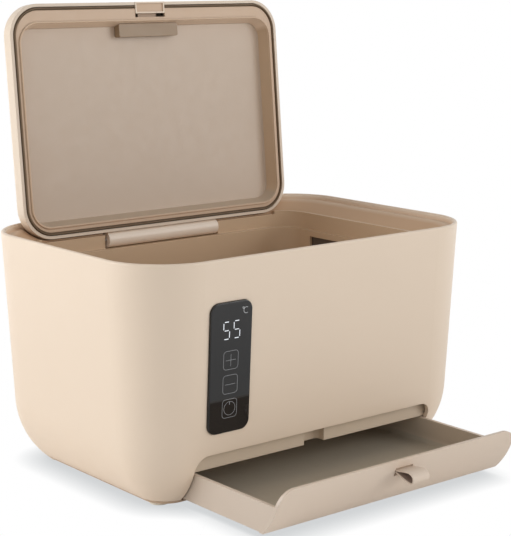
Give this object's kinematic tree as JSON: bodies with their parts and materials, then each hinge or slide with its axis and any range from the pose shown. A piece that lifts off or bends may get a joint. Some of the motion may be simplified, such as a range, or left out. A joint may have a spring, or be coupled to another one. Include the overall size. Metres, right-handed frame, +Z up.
{
  "type": "baby wipe warmer",
  "caption": "Countertop box that keeps wet wipes warm: hinged sprung lid with seal and latch, heated compartment, touch panel and pull-out storage drawer.",
  "frame": {"origin": "centre of the housing's footprint, on the surface it stands on", "axes": "+X to the right seen from the front, +Y from the front to the rear hinge, +Z up"},
  "size_m": [0.25, 0.2574, 0.2703],
  "materials": {
    "gloss_beige": "smooth satin-gloss moulded plastic",
    "inner_beige": "fine matte moulded plastic",
    "barrel_beige": "satin moulded plastic",
    "seal_rubber": "soft dark silicone",
    "foot_rubber": "matte rubber",
    "screw_steel": "zinc-plated",
    "spring_steel": "bright drawn wire",
    "panel_black": "high-gloss film over plastic",
    "board_green": "solder resist",
    "display_grey": "cast resin",
    "pad_copper": "plated copper",
    "vent_dark": "matte",
    "plate_metal": "rolled sheet",
    "film_amber": "satin film",
    "pad_white": "needled felt",
    "sensor_black": "matte",
    "fuse_white": "ceramic-filled",
    "relay_blue": "satin"
  },
  "bodies": {
    "housing": {"outer_housing": "gloss_beige", "compartment_tub": "inner_beige", "drawer_bay": "inner_beige", "base_plate": "inner_beige", "hinge_mount_left": "inner_beige", "hinge_mount_right": "inner_beige", "foot_front_left": "foot_rubber", "foot_front_right": "foot_rubber", "foot_rear_left": "foot_rubber", "foot_rear_right": "foot_rubber", "base_screws": "screw_steel", "deck_screws": "screw_steel", "tub_screws": "screw_steel", "heater_screws": "screw_steel", "hinge_pin": "spring_steel", "control_panel": "panel_black", "display_board": "board_green", "main_board": "board_green", "digit_display": "display_grey", "plus_touch_pad": "pad_copper", "minus_touch_pad": "pad_copper", "power_touch_pad": "pad_copper", "side_vent_left": "vent_dark", "side_vent_right": "vent_dark", "heat_plate": "plate_metal", "heating_film": "film_amber", "insulation_pad": "pad_white", "temperature_sensor": "sensor_black", "power_inlet": "sensor_black", "filter_capacitor": "sensor_black", "thermal_fuse": "fuse_white", "power_relay": "relay_blue"},
    "lid": {"lid_shell": "gloss_beige", "lid_liner": "inner_beige", "lid_seal": "seal_rubber", "latch_cover": "inner_beige", "latch_spring": "spring_steel", "hinge_barrel": "barrel_beige", "hinge_spring": "spring_steel"},
    "latch": {"latch_tab": "gloss_beige"},
    "drawer": {"drawer_tray": "gloss_beige", "drawer_pull": "gloss_beige"}
  },
  "joints": [
    {"name": "lid_hinge", "type": "hinge", "parent": "housing", "child": "lid", "pos_m": [0, 0.0742, 0.1251], "axis": [1, 0, 0], "range_deg": [0, 95.4]},
    {"name": "latch_press", "type": "slide", "parent": "lid", "child": "latch", "axis": [0, -0.0941, -0.9956], "range_m": [0, 0.002], "stiffness_N_per_m": 400, "deforming": ["latch_spring"]},
    {"name": "drawer_slide", "type": "slide", "parent": "housing", "child": "drawer", "axis": [0, 1, 0], "range_m": [-0.0445, 0.0695]}
  ]
}
